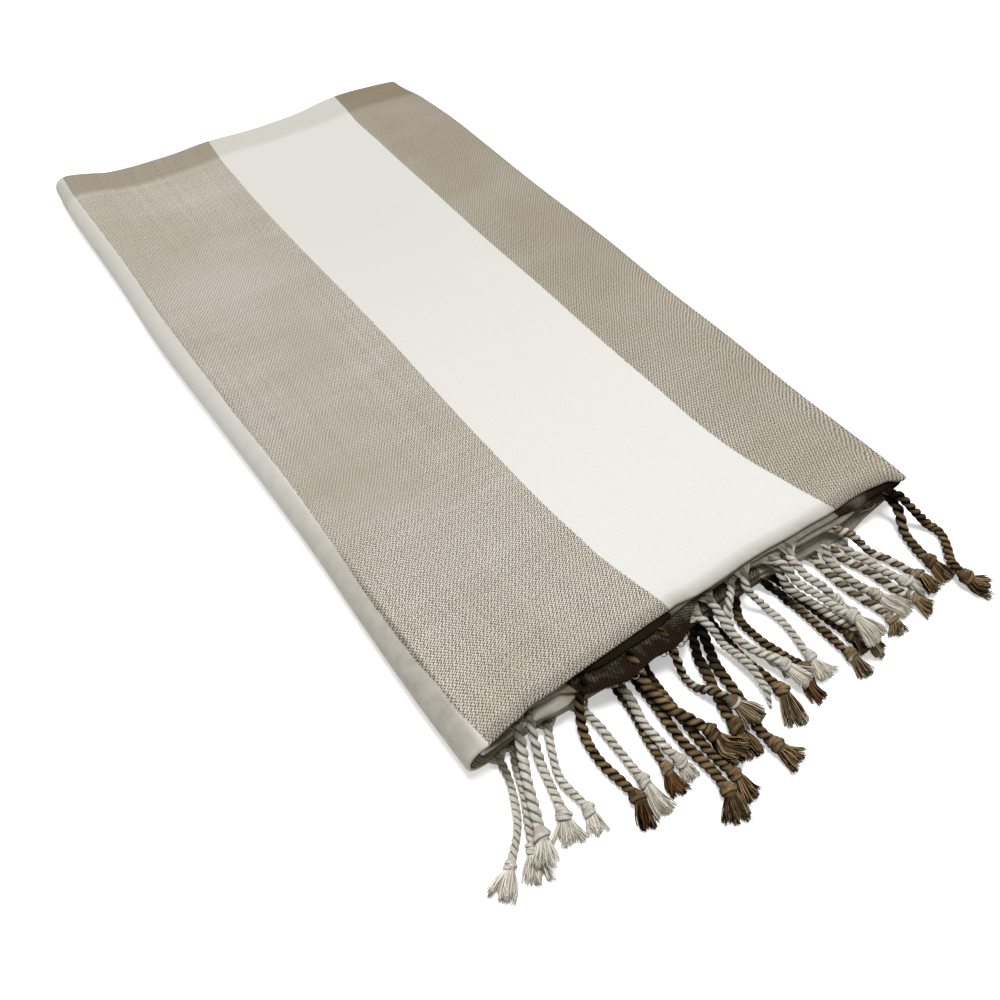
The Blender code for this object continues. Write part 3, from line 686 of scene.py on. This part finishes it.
def tie_knot(yarns, tassel, chance):
    """An overhand knot: the cord's end wound once and a half round a full core."""
    at = tassel.knot_at
    width, shares = tassel.width, YARNS[tassel.yarn]
    brown = (shares[0] + shares[1]) / 2 * (1 - 0.2 * shares[2])
    bulk = width * chance.uniform(0.95, 1.15)
    tone = 0.5 + 0.2 * chance.uniform(-1, 1) - 0.22 * brown
    places = np.linspace(at - 0.66 * width, at + KNOT_REACH * width, 14)
    line = middle_line(tassel, places)
    share = (places - at) / (KNOT_REACH * width)
    bulge = bulk * (0.36 + 0.21 * np.sqrt(np.clip(1 - share**2, 0, 1)))
    # painted shade on the core, most on its underside and on brown knots
    under = ease((0.9 - np.sin(corner_angles(CORE_CORNERS))) / 1.3)[None]
    deep = under * (0.6 - 0.1 * brown) + 0.12 + 0.3 * brown
    yarns.spin_plain(line, bulge, bulge, CORE_CORNERS, brown, tone, deep)
    # the end comes up out of the core, crosses it aslant and is tucked under again
    share = np.linspace(0, 1, 34)
    start = chance.uniform(-0.9, 0.9) + math.pi * 1.1
    angle = start - share * math.tau * KNOT_TURNS
    reach = chance.uniform(0.22, 0.42)
    lean = bulk * (reach * (2 * share - 1) + 0.16 * np.sin(angle + chance.uniform(0, 6)))
    radius = bulk * 0.47 * np.clip(np.sin(share * math.pi) * 2.4, 0.25, 1)
    straight = middle_line(tassel, np.linspace(at - 1.5, at + 1.5, len(share)))
    out = turned(angle, *line_frames(straight))
    line = middle_line(tassel, at + lean) + out * radius[:, None]
    line[:, 2] = np.maximum(line[:, 2], width * 0.28)
    out, cross = square_to(line, out)
    taper = np.clip(np.sin(share * math.pi) * 2.0, 0.45, 1) ** 0.5
    around = corner_angles(STRAND_CORNERS)
    # painted shade between the strands and on their undersides
    crease = np.maximum(ease((0.5 + 0.4 * brown - np.cos(around)) / 0.7)[None],
                        (0.6 + 0.3 * brown) * ease((0.7 + 0.2 * brown - upward(out, cross, around)) / 1.1))
    fleck = ease((np.sin(share * 7 + start) - 0.3) / 0.4)
    for ply, dark in enumerate(shares[:2]):
        strand = line + turned(0.8 * angle + ply * math.pi + 0.6, out, cross) * (bulk * 0.13 * taper)[:, None]
        wrap = np.clip(dark * (1 - 0.9 * shares[2] * ply * fleck), 0, 1)
        yarns.spin(strand, out, cross, bulk * 0.2 * taper, bulk * 0.22 * taper, STRAND_CORNERS,
                   wrap, tone + 0.15, crease)


def comb_tuft(yarns, tassel, chance):
    """The yarn ends below the knot: a soft brush in a few curved locks, rounded at the end."""
    width, spread = tassel.width, tassel.spread
    start, end = tassel.knot_at + 0.4 * width, tassel.places[-1]
    shares = np.linspace(0, 1, YARN_STATIONS)
    root_brown, tip_brown = TUFTS[tassel.tuft]
    opened = 0.55 * shares + 0.45 * np.sin(shares * math.pi / 2)
    ends = (spread / 2, TUFT_RISE * spread)
    half_wide, half_high = (width / 2 + (half - width / 2) * opened for half in ends)
    line = middle_line(tassel, start + (end - 2.2 - start) * shares)
    # a core painted dark, standing in for the shade inside the tuft
    core = np.sqrt(np.clip(1.05 - shares**3, 0, 1))
    wide, high = half_wide * 0.78 * core, half_high * 0.7 * core
    yarns.spin_plain(line, wide, high, CORE_CORNERS, root_brown, 0.2, 0.7, True)
    # sideways bend, length, tone and curl of each lock
    ranges = ((-0.16, 0.16), (-1.4, 0.5), (-0.2, 0.2), (-1, 1))
    locks = [[chance.uniform(*limits) for limits in ranges] for _ in range(LOCKS)]
    count = int(66 + 5 * spread)
    rounded = chance.uniform(0.02, 0.12)
    for number in range(count):
        angle = math.tau * (number * GOLDEN_TURN % 1)
        away = math.sqrt((number + 0.5) / count)
        lean, lift = away * math.cos(angle), away * math.sin(angle)
        sway, short, shift, curl = locks[int((lean * 0.5 + 0.5) * (LOCKS - 0.01))]
        reach = end + short + chance.uniform(-0.9, 0.5) - 0.7 * away**3 - rounded * spread * abs(lean) ** 2.5
        line = middle_line(tassel, start + (reach - start) * shares)
        side, up = line_frames(line)
        wave = chance.uniform(0.15, 0.6) * np.sin(shares * chance.uniform(2, 6) + chance.uniform(0, 6))
        wave = wave * shares
        stray = (chance.uniform(-1, 1) * 0.7 + sway * spread) * shares**2
        stray = stray + curl * np.sin(shares * math.pi) * 0.5
        line = line + side * (half_wide * lean + wave + stray)[:, None]
        line = line + up * (half_high * lift + wave * 0.5)[:, None]
        line[:, 2] = np.maximum(line[:, 2], FLOOR_REST)
        tips = ease((shares - 0.75) / 0.2) if chance.random() < 0.4 else 0 * shares
        brown = root_brown + (tip_brown - root_brown) * tips
        if tassel.tuft == "streaked" and chance.random() < 0.3:
            brown = brown * 0.2
        girth = 0.25 + 0.08 * chance.random() - 0.09 * shares**2
        # painted shade: darker inside the tuft, at its sides, and on some yarns deep in the gaps between locks
        gap = chance.random() < 0.42
        deep = (0.6 * (1 - away**2) + 0.75 * gap + 0.35 * abs(lean)**3) * (0.58 + 0.42 * min(root_brown, 1.0))
        tone = chance.random() * 0.8 + 0.2 + shift
        yarns.spin(line, side, up, girth, girth, YARN_CORNERS, brown, tone, deep, True)


def gather_root(yarns, tassel, chance):
    """Warp ends drawn together from the cloth's end into the cord."""
    root, ends = ROOT[tassel.slab], SLABS[tassel.slab]["ends"]
    shares = np.linspace(0, 1, YARN_STATIONS)
    meet = middle_line(tassel, root * 0.8)
    brown = sum(YARNS[tassel.yarn][:2]) / 2
    fan = 5.0 - 2.2 * brown
    for number in range(ROOT_YARNS):
        lean = 2 * (number + chance.random()) / ROOT_YARNS - 1
        x = min(max(tassel.root_x + lean * fan, LEFT), RIGHT - 1)
        start = np.array(settle(x, float(near_edge(ends, x)) + 0.6, root_height(tassel)))
        aim = meet + np.array((0.2 * tassel.width * lean, 0.0, chance.uniform(-0.3, 0.3) * tassel.width))
        bend = start + (0, -1.6 - 1.2 * (1 - abs(lean)), 0)
        line = np.stack([(1 - t) ** 2 * start + 2 * (1 - t) * t * bend + t**2 * aim for t in shares])
        line[:, 2] = np.maximum(line[:, 2], FLOOR_REST)
        # painted shade on the gathered ends, most where they lie below the folded edge
        deep = 0.3 + 0.3 * brown + (0.55 - 0.25 * brown) * shaded(line[:, 0], line[:, 1], tassel.slab)
        yarns.spin_plain(line, 0.32, 0.32, YARN_CORNERS, brown, chance.random(), deep, True)


def catch_threads(yarns):
    """Loops and loose threads along the cut ends."""
    chance = random.Random("loose threads")
    routes = list(LOOSE_THREADS)
    for start, stop, height in LOOP_ROWS:
        for x in np.arange(start, stop, LOOP_SPACING):
            x = float(x) + chance.uniform(-0.5, 0.5)
            y = float(near_edge("upper_ends", x))
            z = height + chance.uniform(-1.0, 1.0)
            long, wide = chance.uniform(0.3, 1.5), chance.uniform(0.3, 1.6)
            loop = ((0, 2.5, 0), (-0.4 * wide, -0.7 * long, 0.3), (wide / 2, -long, 0.4),
                    (1.3 * wide, -0.6 * long, 0.2), (wide, 2.5, 0))
            routes.append(np.array((x, y, z)) + loop)
    for number, route in enumerate(routes):
        pale = number < PALE_THREADS
        brown = 0.1 if pale else chance.choice((0.5, 0.9, 1.0))
        tone = chance.random()
        # the darker threads get painted shade, as they hang under the cut ends
        deep = 0.1 if pale else chance.uniform(0.5, 0.95)
        yarns.spin_plain(smooth_line(route, 6), 0.2, 0.2, 4, brown, tone, deep, True)


def make_fringe(name, end, tassels, finishes):
    """One short end's tassels as one piece."""
    yarns = Yarns()
    for number, tassel in enumerate(tassels):
        if tassel.end != end:
            continue
        chance = random.Random(f"tassel {number}")
        twist_cord(yarns, tassel, chance)
        gather_root(yarns, tassel, chance)
        if tassel.tuft != "loose":
            tie_knot(yarns, tassel, chance)
            comb_tuft(yarns, tassel, chance)
    if end == 1:
        catch_threads(yarns)
    return yarns.finish(name, finishes)


# ---- Finishes ----

def operator(operation):
    """What one of Python's operators does to a Value."""
    return lambda value, *others: value.math(operation, *others)


class Value:
    """A number that varies over a surface; arithmetic on it adds Math nodes."""

    def __init__(self, finish, link):
        self.finish, self.link = finish, link

    def math(self, operation, *others):
        numbers = dict(enumerate((self, *others)))
        return self.finish.node("ShaderNodeMath", {"operation": operation}, numbers)

    def __rsub__(self, other):
        return self * -1 + other

    __add__ = __radd__ = operator("ADD")
    __mul__ = __rmul__ = operator("MULTIPLY")
    __sub__, __mod__, __abs__ = (operator(name) for name in ("SUBTRACT", "FLOORED_MODULO", "ABSOLUTE"))

    def steps(self, start, stop):
        """0 below start, 1 above stop, smooth between."""
        return self.finish.node("ShaderNodeMapRange", {"interpolation_type": "SMOOTHSTEP"},
                                {"Value": self, "From Min": start, "From Max": stop})


class Finish:
    """A material, and the nodes that make it."""

    def __init__(self, name):
        self.material = bpy.data.materials.new(name)
        self.material.use_nodes = True
        self.tree = self.material.node_tree
        self.shader = self.tree.nodes["Principled BSDF"]

    def node(self, kind, settings, inputs, output=0):
        """Adds a node with its settings, then the values or links of its sockets."""
        node = self.tree.nodes.new(kind)
        for name, setting in settings.items():
            setattr(node, name, setting)
        self.fill(node, inputs)
        return Value(self, node.outputs[output])

    def fill(self, node, inputs):
        for name, value in inputs.items():
            if isinstance(value, Value):
                self.tree.links.new(value.link, node.inputs[name])
            else:
                node.inputs[name].default_value = value

    def parts(self, kind, whole):
        """The numbers that make up a place or a colour."""
        return [Value(self, output) for output in self.node(kind, {}, {0: whole}).link.node.outputs]

    def uv(self, name):
        """A UV map as a place, and its two lengths."""
        place = self.node("ShaderNodeUVMap", {"uv_map": name}, {})
        return place, *self.parts("ShaderNodeSeparateXYZ", place)[:2]

    def noise(self, place, scale, detail, roughness=0.5):
        inputs = {"Vector": place, "Scale": scale, "Detail": detail, "Roughness": roughness}
        return self.node("ShaderNodeTexNoise", {}, inputs)

    def bump(self, strength, distance, height, **below):
        inputs = {"Strength": strength, "Distance": distance, "Height": height, **below}
        return self.node("ShaderNodeBump", {}, inputs)

    def mix(self, share, *pair):
        """A colour between two, each one a Value or an everyday colour."""
        one, other = (colour if isinstance(colour, Value) else linear(*colour) for colour in pair)
        return self.node("ShaderNodeMix", {"data_type": "RGBA"}, {0: share, 6: one, 7: other}, 2)

    def coats(self, colour, *layers):
        """A colour with others laid over it, each by its own share."""
        for share, tint in layers:
            colour = self.mix(share, colour, tint)
        return colour

    def surface(self, **inputs):
        self.fill(self.shader, {name.replace("_", " "): value for name, value in inputs.items()})
        return self.material


def linear(*channels):
    """An everyday 0 to 255 colour as the renderer's linear one."""
    shares = [channel / 255 for channel in channels]
    return *(s / 12.92 if s <= 0.04045 else ((s + 0.055) / 1.055) ** 2.4 for s in shares), 1.0


# Slanting waves that make the weave: turns across and along the cloth, strength, and what the right side adds
WAVES = ((0.95, 1.86, 0.5, -0.3), (0.94, 0.84, 0.3, 0.1), (1.1, -1.16, 0.36, 0.12))


def striped_cotton():
    """Plain weave: a white weft over brown or white warps. Painted shade darkens its hollows, the cloth under
    the near edge, and the parts that get less light.
    """
    finish = Finish("striped cotton")
    place, across, along = finish.uv("weave")
    across, along = across * (1 / MM), along * (1 / MM)
    from_far = abs(along - FAR_TURN)

    def noise(scale, detail, stretch=(1.0, 1.0, 1.0)):
        spot = finish.node("ShaderNodeVectorMath", {"operation": "MULTIPLY"}, {0: place, 1: stretch})
        return finish.noise(spot, scale, detail, 0.55)

    # stripes, with an edge one yarn ragged
    ragged = across + (noise(900, 1.0) - 0.5) * 1.2
    beside = abs((ragged + (STRIPE_PITCH / 2 - FIRST_BEIGE)) % STRIPE_PITCH - STRIPE_PITCH / 2)
    beige = 1 - beside.steps(BEIGE_WIDTH / 2 - 0.3, BEIGE_WIDTH / 2 + 0.3)

    # floats of warp and weft change places like a chequerboard, and slant a little one way
    warp_turn, weft_turn = across * (math.pi / WARP_PITCH), along * (math.pi / WEFT_PITCH)
    stray = (noise(420, 2.0) - 0.5) * 4.5 + (noise(32, 2.0) - 0.5) * 7.0
    right = across.steps(400, 455)
    weave = (noise(1300, 1.0) - 0.5) * 1.9
    for turn_across, turn_along, strength, more in WAVES:
        wave = (warp_turn * turn_across + weft_turn * turn_along + stray).math("COSINE")
        weave = weave + wave * (right * more + strength)
    # the weave's hollows, where painted shade falls between the yarns
    hollow_shade = 1 - weave.steps(-1.0, -0.2)

    # towards the far fold, where this reaches half, the weave blurs to an even tone
    even = (from_far * (-1 / FAR_TURN) + 1) * 0.5
    weft_up = weave.steps(-0.6, 0.75)
    weft_up = weft_up + even * (even * 1.8 + right * 0.7) * (0.55 - weft_up)

    warp_tone = noise(1.0, 2.0, (900.0, 5.0, 1.0))
    weft_tone = noise(1.0, 2.0, (5.0, 800.0, 1.0))
    yarn_tone = warp_tone * 0.5 + weft_tone * 0.5
    cloudy, streaky = noise(14, 3.0), noise(1.0, 3.0, (9.0, 42.0, 1.0))
    weft_light = finish.mix(weft_tone.steps(0.2, 0.8), (212, 207, 196), (226, 222, 212))
    weft_light = finish.mix(right * 0.4, weft_light, (226, 220, 206))
    warp_brown = finish.mix(warp_tone.steps(0.25, 0.75), (86, 75, 57), (130, 120, 102))
    warp_brown = finish.mix(right * 0.6, warp_brown, (72, 58, 38))
    beige_cloth = finish.coats(
        finish.mix(weft_up, warp_brown, weft_light),
        (cloudy.steps(0.32, 0.68) * 0.24, (136, 126, 102)),
        # painted shade: the right stripe and the far half darker, where less light falls
        (right * (0.12 + even * 0.7) + even * 0.16, (122, 110, 90)),
        ((1 - streaky.steps(0.3, 0.52)) * 0.04, (228, 223, 212)),
        (streaky.steps(0.5, 0.72) * 0.05, (118, 104, 80)),
        # painted shade in the weave's hollows, fading towards the far fold
        (hollow_shade * (0.55 - even * 0.6), (62, 51, 37)))
    white_cloth = finish.coats(
        finish.mix(yarn_tone, (212, 211, 205), (223, 222, 218)),
        # painted shade: darker towards the far fold, where less light falls, and in the weave's hollows
        (even.steps(0, 0.4), (203, 202, 195)),
        (hollow_shade * 0.11, (150, 144, 124)))

    # painted shade: a darker, browner band on the slope where the top turns down over the far fold, then the
    # shade under the near edge and in the folds, near black in narrow gaps
    far_shade_band = 1 - (from_far + (cloudy - 0.5) * 5).steps(18, 26)
    painted_shade = finish.node("ShaderNodeAttribute", {"attribute_name": "painted_edge_shade"}, {}, 2)
    painted_shade = painted_shade * (noise(170, 2.0) * 0.6 + 0.7)
    painted_shade_colour = finish.mix(beige, (123, 113, 93), finish.mix(weft_up, (22, 14, 8), (54, 41, 26)))
    colour = finish.coats(
        finish.mix(beige, white_cloth, beige_cloth),
        (far_shade_band * (0.18 + beige * 0.29), (112, 98, 72)),
        (painted_shade, painted_shade_colour),
        ((painted_shade - 1) * 0.85, (10, 6, 3)))

    bump = finish.bump(0.5, 0.0002, weave * 0.5 + yarn_tone * 0.1)
    slack = noise(38, 4.0) * 0.5 + noise(11, 2.0) * 0.8
    bump = finish.bump(0.5, 0.003, slack, Normal=bump)
    rough = 0.86 + yarn_tone * 0.1
    return finish.surface(Base_Color=colour, Roughness=rough, Normal=bump, Specular_IOR_Level=0.1)


def cotton_yarn(name, shadows, sunk, relief, twisted):
    """Brown and white cotton, by the dye and painted shade on each yarn: how brown, which tone, and how deep in
    a crease or in shade.
    """
    finish = Finish(name)
    dye = finish.node("ShaderNodeVertexColor", {"layer_name": "dye"}, {})
    brown, tone, deep = finish.parts("ShaderNodeSeparateColor", dye)
    place = finish.node("ShaderNodeTexCoord", {}, {}, 3)
    height, mottle = (finish.noise(place, scale, 2.0) for scale in (1500, 190))
    tone = tone * 0.6 + mottle * 0.7 - 0.15
    light = finish.mix(tone, (220, 212, 195), (252, 248, 237))
    dark = finish.mix(tone, (66, 44, 21), (208, 176, 130))
    rust = finish.mix(tone, (70, 44, 26), (150, 112, 74))
    colour = finish.mix(brown, light, finish.mix((brown - 1) * 4, dark, rust))
    shadow = finish.mix(brown, *shadows)
    if twisted:  # its strands run aslant round it
        _, along, around = finish.uv("yarn")
        strands = (around * (math.tau * 6) + along * (0.5 / MM) + height * 3).math("SINE")
        # painted shade in the grooves between the strands
        colour = finish.mix((1 - strands.steps(-1.0, -0.1)) * (0.22 + brown * 0.3), colour, shadow)
        height = strands * 0.4 + height
    # painted shade where the yarn lies deep in a crease or in the edge's shade
    colour = finish.mix(deep * sunk, colour, shadow)
    bump = finish.bump(*relief, height)
    return finish.surface(Base_Color=colour, Roughness=0.9, Normal=bump, Specular_IOR_Level=0.06)


# ---- Stage ----

FLOOR_SIZE, FLOOR_HEIGHT = 12.0, -0.0003  # metres
LAMP_PLACE, LAMP_AIM = (0.0, 0.18, 2.1), (0.0, -0.05, 0.0)
LAMP_SIZE, LAMP_WATTS, SURROUND = 0.8, 45, 0.32
CAMERA_PLACE = (-92.0, -115.3, 344.4)  # towel millimetres
CAMERA_TURN = (39.61, -2.08, -35.71)  # degrees
CAMERA_LENS = 33.66


def lay_floor():
    bpy.ops.object.select_all(action="DESELECT")
    bpy.ops.mesh.primitive_plane_add(size=FLOOR_SIZE, location=(0, 0, FLOOR_HEIGHT))
    floor = bpy.context.object
    floor.name = "floor"
    finish = Finish("pale floor")
    floor.data.materials.append(finish.surface(Base_Color=(0.9, 0.9, 0.9, 1.0), Roughness=0.8,
                                               Emission_Color=(1.0, 1.0, 1.0, 1.0), Emission_Strength=0.4))


def light_stage():
    """High-key light: a pale surround and one broad lamp overhead."""
    world = bpy.data.worlds.new("studio")
    world.use_nodes = True
    surround = world.node_tree.nodes["Background"].inputs
    surround["Color"].default_value = (1.0, 1.0, 1.0, 1.0)
    surround["Strength"].default_value = SURROUND
    bpy.context.scene.world = world
    data = bpy.data.lights.new("window", "AREA")
    data.size, data.energy = LAMP_SIZE, LAMP_WATTS
    lamp = add_object("window", data)
    lamp.location = LAMP_PLACE
    lamp.rotation_euler = (Vector(LAMP_AIM) - Vector(LAMP_PLACE)).to_track_quat("-Z", "Y").to_euler()
    view = bpy.context.scene.view_settings
    view.view_transform = "Standard"
    view.look = "None"


def place_camera():
    data = bpy.data.cameras.new("camera")
    data.lens, data.sensor_width, data.clip_start = CAMERA_LENS, 36.0, 0.01
    camera = add_object("camera", data)
    camera.location = to_frame([CAMERA_PLACE])[0]
    camera.rotation_euler = [math.radians(angle) for angle in CAMERA_TURN]
    bpy.context.scene.camera = camera


# ---- Making ----

place_camera()
lay_floor()
light_stage()

towel = weave_towel()
towel.data.materials.append(striped_cotton())
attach(towel, "root")
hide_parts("towel")

tassels = lay_tassels()
cord_finishes = (cotton_yarn("twisted yarn", ((72, 63, 45), (8, 3, 1)), 1.0, (0.7, 0.00025), True),
                 cotton_yarn("combed yarn", ((112, 104, 84), (14, 8, 3)), 0.95, (0.4, 0.0002), False))
for number, end in enumerate(("first", "second"), 1):
    fringe = make_fringe("tassels_" + end, number, tassels, cord_finishes)
    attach(fringe, "root")
    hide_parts("fringe_" + end)
